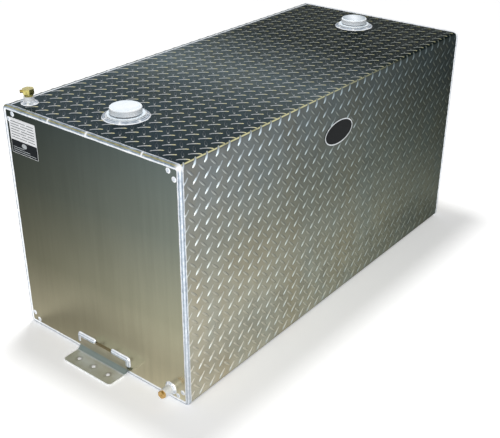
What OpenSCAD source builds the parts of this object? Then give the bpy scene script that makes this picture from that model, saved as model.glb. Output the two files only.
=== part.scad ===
// Truck bed transfer tank, 110 US gallons, welded from aluminium plate.
// A folded wrap of diamond tread plate closes on two smooth end plates.
// X runs along the tank, Y across it with the front at -Y, and Z is up from the truck bed.

/* [Tank] */
// Length over the two end plates
tank_l = 1219.2; // [1000:0.1:1500]
// Width from the front face to the back face
tank_w = 558.8; // [480:0.1:700]
// Height from the bed to the flat of the top
tank_h = 609.6; // [500:0.1:750]
// Thickness of the tread plate without its lugs
wrap_t = 3.175; // [2.5:0.005:5]
// Thickness of each end plate
end_t = 3.175; // [2.5:0.005:4]
// Outer radius of the folds in the wrap
bend_r = 13.5; // [12.5:0.5:18]

/* [Tread] */
// Distance between two lugs that lie the same way, along and across the sheet
lug_pitch = 36.2; // [34:0.1:40]
// Length of a lug
lug_l = 28; // [22:0.5:30]
// Width of a lug
lug_w = 5.6; // [4:0.1:7]
// Height of a lug above the sheet
lug_h = 1.2; // [0.8:0.1:1.5]
// Distance of the first column of rising lugs from the left end
lug_first_x = 47.5; // [30:0.5:60]
// Distance of the first row of rising lugs below the top
lug_first_z = 42.1; // [38:0.1:60]

/* [Baffles] */
// Distance of each of the two slosh baffles from the middle of the tank
baffle_x = 203; // [150:1:260]
// Thickness of a baffle
baffle_t = 3.175; // [2:0.005:5]
// Width of the folded flange round a baffle
baffle_flange = 25; // [15:1:40]
// Side of the cut corner that lets fuel through
baffle_notch = 60; // [45:1:90]
// Radius of the large hole in a baffle
baffle_hole_r = 60; // [40:1:65]
// Radius of the two lower holes in a baffle
baffle_low_r = 30; // [15:1:40]
// Distance of a lower hole from the middle, across the tank
baffle_low_y = 140; // [120:1:160]
// Height of the lower holes above the floor of the tank
baffle_low_z = 95; // [80:1:110]

/* [Welds] */
// Width of a corner bead on each of its two faces
bead_toe = 10.5; // [8:0.1:11]
// Height of a bead above the plate
bead_rise = 1.6; // [1.2:0.1:2]
// Distance of the closing seam from the back face
seam_in = 16; // [15:0.5:30]
// Width of the closing seam's bead
seam_w = 10; // [7:0.5:12]
// Root gap of the closing seam
seam_gap = 1; // [0.5:0.1:2]
// Radius of a plug weld near a corner of an end plate
plug_weld_r = 6.5; // [5:0.5:6.5]
// Radius of the dished middle of a plug weld
plug_dish_r = 3.5; // [2.5:0.5:4]
// Depth of the dished middle of a plug weld
plug_dish_d = 0.7; // [0.3:0.1:1]
// Long distance of a plug weld from the tank's corner
plug_weld_far = 33; // [32:1:40]
// Short distance of a plug weld from the tank's corner
plug_weld_near = 17.5; // [17.5:0.5:22]

/* [Filler necks and caps] */
// Distance of the left filler from the left end
left_fill_x = 127; // [110:1:160]
// Distance of the right filler from the right end
right_fill_x = 136; // [110:1:160]
// Outer radius of a neck's collar
neck_r = 45; // [42:0.5:50]
// Height of the collar above the top
neck_rise = 8; // [7:0.5:15]
// Radius of the neck's spigot, which drops through the top
neck_spigot_r = 39; // [36:0.5:41]
// Depth of the spigot below the top's outer face
neck_drop = 20; // [12:1:30]
// Radius of the threaded bore
neck_bore_r = 30; // [26:0.5:33]
// Chamfer at the collar's upper edges
neck_chamfer = 1.2; // [0.5:0.1:2]
// Width of the neck's fillet weld on the top
neck_weld_w = 11; // [8:0.5:12]
// Height of the neck's fillet weld on the collar
neck_weld_h = 4.5; // [3:0.5:6]
// Radius of the cap's disc
cap_r = 37.5; // [36:0.5:41]
// Height of the cap's disc
cap_h = 14.5; // [9:0.5:16]
// Radius of the round edge of the cap's disc
cap_edge_r = 4; // [1:0.5:5]
// Length of the cap's threaded skirt
cap_skirt_l = 16; // [16:0.5:24]
// Wall of the cap's threaded skirt
cap_skirt_t = 4; // [3:0.5:6]
// Thickness of the cap's sealing ring
gasket_t = 2; // [1.5:0.1:3]
// Width of the cap's sealing ring
gasket_w = 5; // [3:0.5:5.5]
// Radial clearance between the sealing ring and the cap's skirt
gasket_gap = 0.5; // [0.3:0.1:1]
// Radial clearance of a screwed fit
thread_gap = 0.05; // [0.02:0.01:0.1]

/* [Vent] */
// Distance of the vent from the left end
vent_in_x = 44.5; // [40:0.5:60]
// Distance of the vent from the back face
vent_in_y = 44.5; // [42:0.5:60]
// Outer radius of the vent's coupling
vent_coupling_r = 12.5; // [11:0.5:14]
// Height of the vent's coupling above the top
vent_coupling_h = 17; // [14:0.5:24]
// Radius of the vent's threaded shank
vent_bore_r = 8.5; // [7.5:0.5:9]
// Length of the vent's threaded shank
vent_shank_l = 12; // [8:0.5:14]
// Radius over the corners of the vent's six-sided body
vent_body_r = 14.5; // [12.5:0.5:15]
// Height of the cone under the six-sided body
vent_cone_h = 6; // [4:0.5:8]
// Height of the vent's six-sided body
vent_body_h = 12; // [11:0.5:20]
// Radius of the passage up the middle of the vent
vent_passage_r = 4.5; // [4.5:0.5:5.5]
// Outer radius of the vent's outlet stub
outlet_r = 4; // [3:0.1:4.2]
// Bore radius of the vent's outlet stub
outlet_bore_r = 2.6; // [1.5:0.1:2.8]
// Distance of the stub's free end from the vent's axis
outlet_reach = 19; // [18:0.5:26]
// Depth of the stub's axis below the top of the vent
outlet_down = 5; // [5:0.5:7]
// Direction of the stub, turned from the tank's long axis
outlet_angle = 150; // [0:5:355]
// Width of the fillet weld round the vent's coupling
vent_weld_w = 9; // [6:0.5:10]

/* [Drain] */
// Distance of the drain from the front face
drain_in_y = 55; // [55:1:70]
// Height of the drain's axis above the bed
drain_z = 28.5; // [28.5:0.5:40]
// Outer radius of the drain's coupling
drain_coupling_r = 11.5; // [11:0.5:12]
// Length of the drain's coupling outside the end plate
drain_coupling_l = 27; // [20:0.5:30]
// Radius of the drain's threaded bore
drain_bore_r = 8; // [7:0.5:9]
// Length of the plug's threaded shank
drain_shank_l = 15; // [10:0.5:17]
// Distance over the corners of the plug's six-sided head
drain_head_d = 20; // [18:0.5:24]
// Height of the plug's head
drain_head_h = 7; // [5:0.5:12]
// Width of the fillet weld round the drain's coupling
drain_weld_w = 6; // [4:0.5:6]
// Height of the fillet welds round the two couplings
coupling_weld_h = 5; // [3:0.5:7]

/* [Hold-down brackets] */
// Thickness of a bracket
bracket_t = 4.76; // [4:0.01:6.4]
// Length of a bracket along the end plate
bracket_w = 165.1; // [150:0.1:200]
// Height of a bracket's upright leg
bracket_h = 41; // [40:1:60]
// Reach of a bracket's foot from the end plate
bracket_reach = 63.5; // [55:0.5:80]
// Inner radius of a bracket's fold
bracket_bend_r = 16; // [8:0.5:16]
// Radius of the foot's two outer corners
foot_corner_r = 9; // [4:1:15]
// Radius of a bolt hole in the foot
bolt_hole_r = 5.5; // [4:0.25:6.5]
// Distance between two bolt holes
bolt_pitch = 50.8; // [45:0.1:60]
// Distance of the bolt holes from the end plate
bolt_in = 38.1; // [36:0.5:45]
// Radius of the crown of a bracket's weld bead
bracket_bead_r = 9; // [8:0.5:10]
// Depth of the crown's centre behind the end plate's face
bracket_bead_sink = 2.8; // [2:0.1:3.2]
// Distance of the crown's centre outside the leg's edge
bracket_bead_out = 1.5; // [1:0.1:2.5]
// Length of the bare edge between a bracket's two beads
bracket_bare = 54; // [30:1:60]

/* [Hidden] */
$fn = 64;
// Extra length of a cut past the face that it opens
over = 1;
bolt_count = 3;
// Centre and radius of a corner bead, from its toes and its rise
bead_sum = bead_toe + bead_rise;
bead_in = bead_sum - sqrt(2 * bead_rise * bead_sum);
bead_r = bead_in + bead_rise;
lug_half = lug_pitch / 2;
lug_reach = (lug_l / 2 + lug_w / 2) * sqrt(0.5);
lug_lean = atan(lug_w / lug_l);
lug_side = lug_l * lug_w / sqrt(lug_l * lug_l + lug_w * lug_w) / 2;
left_fill = -tank_l / 2 + left_fill_x;
right_fill = tank_l / 2 - right_fill_x;
neck_top = tank_h + neck_rise;
cap_base = neck_top + gasket_t;
vent_x = -tank_l / 2 + vent_in_x;
vent_y = tank_w / 2 - vent_in_y;
vent_seat = tank_h + vent_coupling_h;
vent_top = vent_seat + vent_cone_h + vent_body_h;
drain_y = -tank_w / 2 + drain_in_y;
seam_y = tank_w / 2 - seam_in;

// Outline of the tank across its length, moved in from the outer face
module tank_outline(inset = 0) {
    w = tank_w - 2 * inset;
    h = tank_h - 2 * inset;
    r = bend_r - inset;
    translate([-w / 2, inset]) {
        translate([r, 0]) square([w - 2 * r, h]);
        translate([0, r]) square([w, h - 2 * r]);
        for (y = [r, w - r], z = [r, h - r]) translate([y, z]) circle(r);
    }
}

// Turns an outline in Y and Z into a solid from x = from to x = to
module along_tank(from, to) {
    translate([from, 0, 0]) rotate([90, 0, 90]) linear_extrude(to - from) children();
}

// Section of a fillet weld in the corner between a wall at radius r and a flat at height 0
module fillet_section(r, w, h) {
    chord = sqrt(w * w + h * h);
    arc_r = chord;
    back = sqrt(arc_r * arc_r - chord * chord / 4);
    intersection() {
        translate([r, 0]) square([w + over, h + over]);
        translate([r + w / 2 - back * h / chord, h / 2 - back * w / chord]) circle(arc_r);
    }
}

// One of the two ends: the right as drawn, the left as its mirror image
module at_end(side) {
    mirror([side == "left" ? 1 : 0, 0, 0]) translate([tank_l / 2, 0, 0]) children();
}

// One lug: a low four-sided point, where two ridges cross
module lug() {
    intersection_for (a = [-lug_lean, lug_lean])
        rotate([0, 0, a]) rotate([90, 0, 90]) linear_extrude(lug_l, center = true)
            polygon([[-lug_side, 0], [lug_side, 0], [0, lug_h]]);
}

// The lugs that lie one way on the front face, between the folds and the end beads
module lug_family(first_x, first_z, turn) {
    limit_x = tank_l / 2 - bead_toe - lug_reach - over / 2;
    low_z = bend_r + lug_reach;
    high_z = tank_h - bend_r - lug_reach;
    start_x = first_x - lug_pitch * floor((first_x + limit_x) / lug_pitch);
    start_z = first_z - lug_pitch * floor((first_z - low_z) / lug_pitch);
    for (x = [start_x:lug_pitch:limit_x], z = [start_z:lug_pitch:high_z])
        translate([x, -tank_w / 2, z]) rotate([90, 0, 0]) rotate([0, 0, turn]) lug();
}

module tread_plate_wrap() {
    rising_x = lug_first_x - tank_l / 2;
    rising_z = tank_h - lug_first_z;
    color([0.55, 0.57, 0.56]) {
        difference() {
            along_tank(-tank_l / 2 + end_t, tank_l / 2 - end_t) difference() {
                tank_outline();
                tank_outline(wrap_t);
                translate([seam_y - seam_gap / 2, tank_h - wrap_t - over]) square([seam_gap, wrap_t + 2 * over]);
            }
            for (x = [left_fill, right_fill])
                translate([x, 0, tank_h - wrap_t - over]) cylinder(r = neck_spigot_r, h = wrap_t + 2 * over);
            translate([vent_x, vent_y, tank_h - wrap_t - over])
                cylinder(r = vent_bore_r, h = wrap_t + 2 * over);
        }
        lug_family(rising_x, rising_z, 45);
        lug_family(rising_x + lug_half, rising_z - lug_half, -45);
    }
}

module end_plate(side) {
    color([0.62, 0.63, 0.6])
    difference() {
        at_end(side) along_tank(-end_t, 0) tank_outline(wrap_t);
        if (side == "left")
            at_end(side) translate([-end_t - over, drain_y, drain_z]) rotate([0, 90, 0])
                cylinder(r = drain_bore_r, h = end_t + 2 * over);
    }
}

// Slosh baffle: a sheet with cut corners, three holes and a flange folded along each side
module baffle(x) {
    w = tank_w - 2 * wrap_t;
    h = tank_h - 2 * wrap_t;
    color([0.66, 0.67, 0.65])
    translate([x, 0, wrap_t]) difference() {
        translate([0, -w / 2, 0]) cube([baffle_flange, w, h]);
        translate([baffle_t, -w / 2 + baffle_t, baffle_t])
            cube([baffle_flange, w - 2 * baffle_t, h - 2 * baffle_t]);
        for (y = [-w / 2, w / 2], z = [0, h])
            translate([baffle_flange / 2, y, z]) rotate([45, 0, 0])
                cube([baffle_flange + 2 * over, baffle_notch * sqrt(2), baffle_notch * sqrt(2)], center = true);
        translate([-over, 0, h / 2]) rotate([0, 90, 0]) cylinder(r = baffle_hole_r, h = baffle_t + 2 * over);
        for (y = [-baffle_low_y, baffle_low_y])
            translate([-over, y, baffle_low_z]) rotate([0, 90, 0])
                cylinder(r = baffle_low_r, h = baffle_t + 2 * over);
    }
}

// Round bar along the outside corner, all round one end
module end_bead_bar() {
    run_y = tank_w - 2 * bend_r;
    run_z = tank_h - 2 * bend_r;
    translate([-bead_in, 0, 0]) {
        for (z = [bead_in, tank_h - bead_in])
            translate([0, run_y / 2, z]) rotate([90, 0, 0]) cylinder(r = bead_r, h = run_y);
        for (y = [bead_in - tank_w / 2, tank_w / 2 - bead_in])
            translate([0, y, bend_r]) cylinder(r = bead_r, h = run_z);
        for (i = [0:3])
            translate([0, (i == 0 || i == 3 ? 1 : -1) * run_y / 2, tank_h / 2 + (i < 2 ? 1 : -1) * run_z / 2])
                rotate([0, 90, 0]) rotate([0, 0, 90 + 90 * i]) rotate_extrude(angle = 90) intersection() {
                    translate([bend_r - bead_in, 0]) circle(bead_r);
                    translate([0, -bend_r]) square([2 * bend_r, 2 * bend_r]);
                }
    }
}

module end_weld(side) {
    color([0.86, 0.87, 0.87])
    at_end(side) difference() {
        end_bead_bar();
        along_tank(-2 * bend_r - end_t, -end_t) tank_outline();
        along_tank(-end_t - over, 0) tank_outline(wrap_t);
        translate([-2 * bend_r, -tank_w, -2 * bend_r]) cube([4 * bend_r, 2 * tank_w, 2 * bend_r]);
    }
}

module closing_seam_weld() {
    arc_r = (seam_w * seam_w / 4 + bead_rise * bead_rise) / (2 * bead_rise);
    ends = tank_l / 2 - bead_toe;
    color([0.86, 0.87, 0.87])
    along_tank(-ends, ends) {
        intersection() {
            translate([seam_y, tank_h + bead_rise - arc_r]) circle(arc_r);
            translate([seam_y - seam_w, tank_h]) square([2 * seam_w, seam_w]);
        }
        translate([seam_y - seam_gap / 2, tank_h - wrap_t]) square([seam_gap, wrap_t]);
    }
}

// Two low domes with a dished middle near one corner, where the frame behind is plug welded
module plug_welds(side, across, up) {
    dome_r = (plug_weld_r * plug_weld_r + bead_rise * bead_rise) / (2 * bead_rise);
    dish_r = (plug_dish_r * plug_dish_r + plug_dish_d * plug_dish_d) / (2 * plug_dish_d);
    color([0.86, 0.87, 0.87])
    at_end(side) for (in = [[plug_weld_far, plug_weld_near], [plug_weld_near, plug_weld_far]])
        translate([0, across * (tank_w / 2 - in[0]), tank_h / 2 + up * (tank_h / 2 - in[1])])
            rotate([0, 90, 0]) rotate_extrude() difference() {
                intersection() {
                    translate([0, bead_rise - dome_r]) circle(dome_r, $fn = 256);
                    square([plug_weld_r + over, bead_rise + over]);
                }
                translate([0, bead_rise - plug_dish_d + dish_r]) circle(dish_r, $fn = 256);
            }
}

module filler_neck(x) {
    color([0.88, 0.89, 0.89])
    translate([x, 0, tank_h]) rotate_extrude() polygon([
        [neck_bore_r, -neck_drop],
        [neck_spigot_r, -neck_drop],
        [neck_spigot_r, 0],
        [neck_r, 0],
        [neck_r, neck_rise - neck_chamfer],
        [neck_r - neck_chamfer, neck_rise],
        [neck_bore_r, neck_rise]]);
}

module neck_weld(x) {
    color([0.86, 0.87, 0.87])
    translate([x, 0, tank_h]) rotate_extrude() fillet_section(neck_r, neck_weld_w, neck_weld_h);
}

module cap_gasket(x) {
    color([0.08, 0.08, 0.08])
    translate([x, 0, neck_top]) difference() {
        cylinder(r = neck_bore_r + gasket_gap + gasket_w, h = gasket_t);
        translate([0, 0, -over]) cylinder(r = neck_bore_r + gasket_gap, h = gasket_t + 2 * over);
    }
}

// Screwed cap: a thick disc with a round edge over a hollow threaded skirt
module filler_cap(x) {
    skirt_r = neck_bore_r - thread_gap;
    color([0.92, 0.93, 0.93])
    translate([x, 0, cap_base]) rotate_extrude() {
        difference() {
            square([cap_r, cap_h]);
            translate([cap_r - cap_edge_r, cap_h - cap_edge_r]) difference() {
                square(cap_edge_r + over);
                circle(cap_edge_r);
            }
        }
        translate([skirt_r - cap_skirt_t, -cap_skirt_l]) square([cap_skirt_t, cap_skirt_l]);
    }
}

module vent_coupling() {
    color([0.88, 0.89, 0.89])
    translate([vent_x, vent_y, tank_h]) difference() {
        cylinder(r = vent_coupling_r, h = vent_coupling_h);
        translate([0, 0, -over]) cylinder(r = vent_bore_r, h = vent_coupling_h + 2 * over);
    }
}

module vent_coupling_weld() {
    color([0.86, 0.87, 0.87])
    translate([vent_x, vent_y, tank_h]) rotate_extrude()
        fillet_section(vent_coupling_r, vent_weld_w, coupling_weld_h);
}

// Brass breather: shank, cone and six-sided body with a passage up and out to the side
module vent_body() {
    color([0.78, 0.66, 0.3])
    translate([vent_x, vent_y, vent_seat]) difference() {
        union() {
            translate([0, 0, -vent_shank_l]) cylinder(r = vent_bore_r - thread_gap, h = vent_shank_l);
            cylinder(r1 = vent_bore_r + over, r2 = vent_body_r * cos(30), h = vent_cone_h);
            translate([0, 0, vent_cone_h]) cylinder(r = vent_body_r, h = vent_body_h, $fn = 6);
        }
        translate([0, 0, -vent_shank_l - over])
            cylinder(r = vent_passage_r, h = vent_shank_l + vent_cone_h + vent_body_h - outlet_down + over);
        translate([0, 0, vent_cone_h + vent_body_h - outlet_down]) rotate([0, 90, outlet_angle])
            cylinder(r = outlet_r, h = vent_body_r + over);
    }
}

module vent_outlet_stub() {
    color([0.72, 0.6, 0.28])
    translate([vent_x, vent_y, vent_top - outlet_down]) rotate([0, 90, outlet_angle])
        translate([0, 0, vent_passage_r]) difference() {
            cylinder(r = outlet_r, h = outlet_reach - vent_passage_r);
            translate([0, 0, -over]) cylinder(r = outlet_bore_r, h = outlet_reach + over);
        }
}

// Places a piece of the drain with its axis along local Z, pointing out of the left end
module at_drain() {
    translate([-tank_l / 2, drain_y, drain_z]) rotate([0, -90, 0]) children();
}

module drain_coupling() {
    color([0.88, 0.89, 0.89])
    at_drain() difference() {
        cylinder(r = drain_coupling_r, h = drain_coupling_l);
        translate([0, 0, -over]) cylinder(r = drain_bore_r, h = drain_coupling_l + 2 * over);
    }
}

module drain_coupling_weld() {
    color([0.86, 0.87, 0.87])
    at_drain() rotate_extrude() fillet_section(drain_coupling_r, drain_weld_w, coupling_weld_h);
}

module drain_plug() {
    color([0.8, 0.68, 0.32])
    at_drain() translate([0, 0, drain_coupling_l]) {
        translate([0, 0, -drain_shank_l]) cylinder(r = drain_bore_r - thread_gap, h = drain_shank_l);
        cylinder(d = drain_head_d, h = drain_head_h, $fn = 6);
    }
}

// Section of a bracket in X and Z: leg against the end plate, fold and foot
module bracket_section() {
    outer_r = bracket_bend_r + bracket_t;
    translate([0, outer_r]) square([bracket_t, bracket_h - outer_r]);
    translate([outer_r, 0]) square([bracket_reach - outer_r, bracket_t]);
    intersection() {
        square(outer_r);
        translate([outer_r, outer_r]) difference() {
            circle(outer_r);
            circle(bracket_bend_r);
        }
    }
}

// Outline of the foot from above, with its two outer corners rounded
module foot_outline() {
    straight = bracket_w - 2 * foot_corner_r;
    translate([0, -bracket_w / 2]) square([bracket_reach - foot_corner_r, bracket_w]);
    translate([0, -straight / 2]) square([bracket_reach, straight]);
    for (y = [-straight / 2, straight / 2])
        translate([bracket_reach - foot_corner_r, y]) circle(foot_corner_r);
}

module bracket(side) {
    color([0.66, 0.67, 0.64])
    at_end(side) difference() {
        intersection() {
            translate([0, bracket_w / 2, 0]) rotate([90, 0, 0]) linear_extrude(bracket_w) bracket_section();
            linear_extrude(bracket_h) foot_outline();
        }
        for (i = [0:bolt_count - 1])
            translate([bolt_in, (i - (bolt_count - 1) / 2) * bolt_pitch, -over])
                cylinder(r = bolt_hole_r, h = bracket_t + 2 * over);
    }
}

// Two beads, each up one side of the leg and part of the way along its upper edge
module bracket_welds(side) {
    low = bracket_bend_r + bracket_t;
    top_run = (bracket_w - bracket_bare) / 2;
    run_y = bracket_w / 2 + bracket_bead_out;
    run_z = bracket_h + bracket_bead_out;
    color([0.86, 0.87, 0.87])
    at_end(side) for (a = [0, 1]) mirror([0, a, 0]) difference() {
        translate([-bracket_bead_sink, run_y, run_z]) {
            translate([0, 0, low - run_z]) cylinder(r = bracket_bead_r, h = run_z - low);
            rotate([90, 0, 0]) cylinder(r = bracket_bead_r, h = top_run + bracket_bead_out);
            sphere(bracket_bead_r);
        }
        translate([-2 * bracket_bead_r, 0, 0]) cube([2 * bracket_bead_r, bracket_w, 2 * bracket_h]);
        translate([0, -bracket_w / 2, 0]) cube([bracket_t, bracket_w, bracket_h]);
    }
}

tread_plate_wrap();
end_plate("left");  // left_end_plate
end_plate("right");  // right_end_plate
baffle(-baffle_x - baffle_flange);  // left_baffle
baffle(baffle_x);  // right_baffle
end_weld("left");  // left_end_weld
end_weld("right");  // right_end_weld
closing_seam_weld();
plug_welds("left", -1, 1);  // left_upper_front_plug_welds
plug_welds("left", 1, 1);  // left_upper_back_plug_welds
plug_welds("left", -1, -1);  // left_lower_front_plug_welds
plug_welds("left", 1, -1);  // left_lower_back_plug_welds
plug_welds("right", -1, 1);  // right_upper_front_plug_welds
plug_welds("right", 1, 1);  // right_upper_back_plug_welds
plug_welds("right", -1, -1);  // right_lower_front_plug_welds
plug_welds("right", 1, -1);  // right_lower_back_plug_welds
filler_neck(left_fill);  // left_filler_neck
filler_neck(right_fill);  // right_filler_neck
neck_weld(left_fill);  // left_neck_weld
neck_weld(right_fill);  // right_neck_weld
cap_gasket(left_fill);  // left_cap_gasket
cap_gasket(right_fill);  // right_cap_gasket
filler_cap(left_fill);  // left_filler_cap
filler_cap(right_fill);  // right_filler_cap
vent_coupling();
vent_coupling_weld();
vent_body();
vent_outlet_stub();
drain_coupling();
drain_coupling_weld();
drain_plug();
bracket("left");  // left_bracket
bracket("right");  // right_bracket
bracket_welds("left");  // left_bracket_welds
bracket_welds("right");  // right_bracket_welds
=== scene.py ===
import bpy
import math
import numpy as np
from mathutils import Matrix, Vector


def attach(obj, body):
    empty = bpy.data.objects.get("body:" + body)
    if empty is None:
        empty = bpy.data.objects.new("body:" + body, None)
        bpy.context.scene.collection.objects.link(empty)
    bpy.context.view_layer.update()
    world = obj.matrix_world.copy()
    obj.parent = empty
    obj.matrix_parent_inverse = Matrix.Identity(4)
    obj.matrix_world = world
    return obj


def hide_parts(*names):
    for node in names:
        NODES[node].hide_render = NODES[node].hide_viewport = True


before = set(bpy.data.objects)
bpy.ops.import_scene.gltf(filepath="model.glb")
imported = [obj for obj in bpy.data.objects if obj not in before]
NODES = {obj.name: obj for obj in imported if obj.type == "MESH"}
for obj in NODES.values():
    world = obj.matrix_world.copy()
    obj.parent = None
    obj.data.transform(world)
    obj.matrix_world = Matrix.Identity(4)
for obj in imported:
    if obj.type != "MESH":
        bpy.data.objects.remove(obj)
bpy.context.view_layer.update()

# ---------------------------------------------------------------- sizes, in metres, as in the part's source
L, W, H = 1.2192, 0.5588, 0.6096
END_T = 0.003175
BEND_R = 0.0135
BEAD_TOE, BEAD_RISE = 0.0105, 0.0016
PLUG_R, PLUG_DISH_R, PLUG_DISH_D, PLUG_FAR, PLUG_NEAR = 0.0065, 0.0035, 0.0007, 0.033, 0.0175
SEAM_Y, SEAM_W = W / 2 - 0.016, 0.010
LEFT_FILL, RIGHT_FILL = -L / 2 + 0.127, L / 2 - 0.136
NECK_R, NECK_RISE, NECK_WELD_W, NECK_WELD_H = 0.045, 0.008, 0.011, 0.0045
GASKET_T = 0.002
CAP_R, CAP_H, CAP_EDGE = 0.0375, 0.0145, 0.004
SKIRT_R, SKIRT_T, SKIRT_L = 0.02995, 0.004, 0.016
VENT_X, VENT_Y = -L / 2 + 0.0445, W / 2 - 0.0445
VENT_CR, VENT_CH, VENT_WELD_W = 0.0125, 0.017, 0.009
STUB_Z, STUB_TURN = H + VENT_CH + 0.018 - 0.005, math.radians(150)
COUPLING_WELD_H = 0.005
DRAIN_Y, DRAIN_Z, DRAIN_CR, DRAIN_WELD_W = -W / 2 + 0.055, 0.0285, 0.0115, 0.006
BR_T, BR_W, BR_H, BR_BEND, BR_BARE = 0.00476, 0.1651, 0.041, 0.016, 0.054
BR_BEAD, BR_SINK, BR_OUT = 0.009, 0.0028, 0.0015
LUG_PITCH, LUG_L, LUG_W, LUG_H = 0.0362, 0.0310, 0.0064, 0.0015
LUG_X0 = -L / 2 + 0.0475
LUG_S0 = 0.0421 - BEND_R


def srgb(r, g, b):
    """Linear colour of three screen values from 0 to 255."""
    def one(c):
        c = c / 255.0
        return c / 12.92 if c <= 0.04045 else ((c + 0.055) / 1.055) ** 2.4
    return (one(r), one(g), one(b), 1.0)


# ---------------------------------------------------------------- material nodes
class Shader:
    """A material's node tree, with short names for the nodes used here."""

    def __init__(self, name, metallic=1.0, roughness=0.3):
        self.mat = bpy.data.materials.new(name)
        self.mat.use_nodes = True
        self.nt = self.mat.node_tree
        self.bsdf = self.nt.nodes["Principled BSDF"]
        self.bsdf.inputs["Metallic"].default_value = metallic
        self.bsdf.inputs["Roughness"].default_value = roughness
        self._coord = None

    def dark_edge(self, r, g, b):
        """Reflection at a grazing angle, for a metal that mirrors dark surroundings."""
        self.bsdf.inputs["Specular Tint"].default_value = (r, g, b, 1.0)
        return self

    def node(self, kind, **values):
        n = self.nt.nodes.new(kind)
        for k, v in values.items():
            setattr(n, k, v)
        return n

    def link(self, a, b):
        self.nt.links.new(a, b)

    def coord(self):
        if self._coord is None:
            t = self.node("ShaderNodeTexCoord")
            s = self.node("ShaderNodeSeparateXYZ")
            self.link(t.outputs["Object"], s.inputs[0])
            self._coord = (t.outputs["Object"], s.outputs)
        return self._coord

    def math(self, op, a, b=0.0, c=None, clamp=False):
        n = self.node("ShaderNodeMath", operation=op, use_clamp=clamp)
        for i, v in enumerate((a, b) if c is None else (a, b, c)):
            if isinstance(v, (int, float)):
                n.inputs[i].default_value = v
            else:
                self.link(v, n.inputs[i])
        return n.outputs[0]

    def span(self, value, lo, hi):
        """0 at lo, 1 at hi, clamped."""
        n = self.node("ShaderNodeMapRange")
        self.link(value, n.inputs[0])
        n.inputs[1].default_value, n.inputs[2].default_value = lo, hi
        return n.outputs[0]

    def ramp(self, fac, stops, mode="LINEAR"):
        n = self.node("ShaderNodeValToRGB")
        n.color_ramp.interpolation = mode
        e = n.color_ramp.elements
        while len(e) < len(stops):
            e.new(0.5)
        for i, (p, col) in enumerate(stops):
            e[i].position = p
            e[i].color = col if len(col) == 4 else srgb(*col)
        self.link(fac, n.inputs[0])
        return n.outputs[0]

    def mix(self, fac, a, b, blend="MIX"):
        n = self.node("ShaderNodeMix", data_type="RGBA", blend_type=blend)
        for i, v in ((0, fac), (6, a), (7, b)):
            if isinstance(v, (int, float, tuple)):
                n.inputs[i].default_value = v
            else:
                self.link(v, n.inputs[i])
        return n.outputs[2]

    def scaled(self, c, factor):
        n = self.node("ShaderNodeVectorMath", operation="SCALE")
        self.link(c, n.inputs[0])
        self.link(factor, n.inputs[3])
        return n.outputs[0]

    def curve(self, fac, stops):
        """A plain number that runs through the (position, value) stops."""
        return self.ramp(fac, [(p, (v, v, v, 1.0)) for p, v in stops], "LINEAR")

    def noise(self, scale, detail=3.0, stretch=(1, 1, 1), roughness=0.55):
        m = self.node("ShaderNodeMapping")
        m.inputs["Scale"].default_value = stretch
        self.link(self.coord()[0], m.inputs[0])
        n = self.node("ShaderNodeTexNoise")
        n.inputs["Scale"].default_value = scale
        n.inputs["Detail"].default_value = detail
        n.inputs["Roughness"].default_value = roughness
        self.link(m.outputs[0], n.inputs["Vector"])
        return n.outputs[0]

    def attribute(self, name):
        n = self.node("ShaderNodeAttribute", attribute_name=name)
        return n.outputs["Fac"]

    def normal(self):
        g = self.node("ShaderNodeNewGeometry")
        s = self.node("ShaderNodeSeparateXYZ")
        self.link(g.outputs["Normal"], s.inputs[0])
        return s.outputs

    def bump(self, height, distance, strength=1.0, after=None):
        n = self.node("ShaderNodeBump")
        n.inputs["Distance"].default_value = distance
        n.inputs["Strength"].default_value = strength
        self.link(height, n.inputs["Height"])
        if after is not None:
            self.link(after, n.inputs["Normal"])
        return n.outputs[0]

    def colour(self, c):
        self.link(c, self.bsdf.inputs["Base Color"])
        return self

    def rough(self, lo, hi, value):
        n = self.node("ShaderNodeMapRange")
        self.link(value, n.inputs[0])
        n.inputs[1].default_value, n.inputs[2].default_value = 0.3, 0.7
        n.inputs[3].default_value, n.inputs[4].default_value = lo, hi
        self.link(n.outputs[0], self.bsdf.inputs["Roughness"])
        return self

    def shape(self, normal):
        self.link(normal, self.bsdf.inputs["Normal"])
        return self.mat


def front_field(s):
    """Painted reflection on the front face: warm and light low down, cooler above, and darker along the tank to the
    right.
    """
    _, (x, y, z) = s.coord()
    u, v = s.span(x, -L / 2, L / 2), s.span(z, 0, H)
    tone = s.ramp(v, [(0.0, (205, 199, 182)), (0.3, (182, 178, 163)), (0.6, (156, 156, 146)), (1.0, (137, 142, 144))])
    # painted reflection: darker along the tank to the right
    fall = s.curve(u, [(0.0, 1.0), (0.35, 0.57), (0.65, 0.33), (1.0, 0.12)])
    tone = s.mix(1.0, tone, s.mix(u, (1.0, 1.0, 1.0, 1), (0.87, 1.03, 1.02, 1)), "MULTIPLY")
    # painted reflection: the lower front is painted lighter
    low = s.math("POWER", s.math("SUBTRACT", 1.0, v), 2.0)
    lift = s.math("MULTIPLY", low, s.curve(u, [(0.0, 0.17), (0.4, 0.44), (0.85, 0.22), (1.0, 0.16)]))
    return s.scaled(tone, s.math("ADD", fall, lift))


def top_field(s):
    """Painted reflection on the top: dark, and darker still to the right."""
    _, (x, y, z) = s.coord()
    u, v = s.span(x, -L / 2, L / 2), s.span(y, -W / 2, W / 2)
    tone = s.ramp(u, [(0.0, (58, 70, 78)), (0.22, (68, 80, 86)), (0.42, (100, 112, 117)), (0.70, (32, 42, 44)), (1.0, (18, 26, 27))])
    return s.scaled(tone, s.curve(v, [(0.0, 0.9), (1.0, 1.35)]))


def back_field(s):
    _, (x, y, z) = s.coord()
    # painted reflection on the back: lighter and warmer towards the bottom
    return s.ramp(s.span(z, 0, H), [(0.0, (128, 126, 116)), (0.6, (104, 108, 104)), (1.0, (88, 94, 94))])


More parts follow.
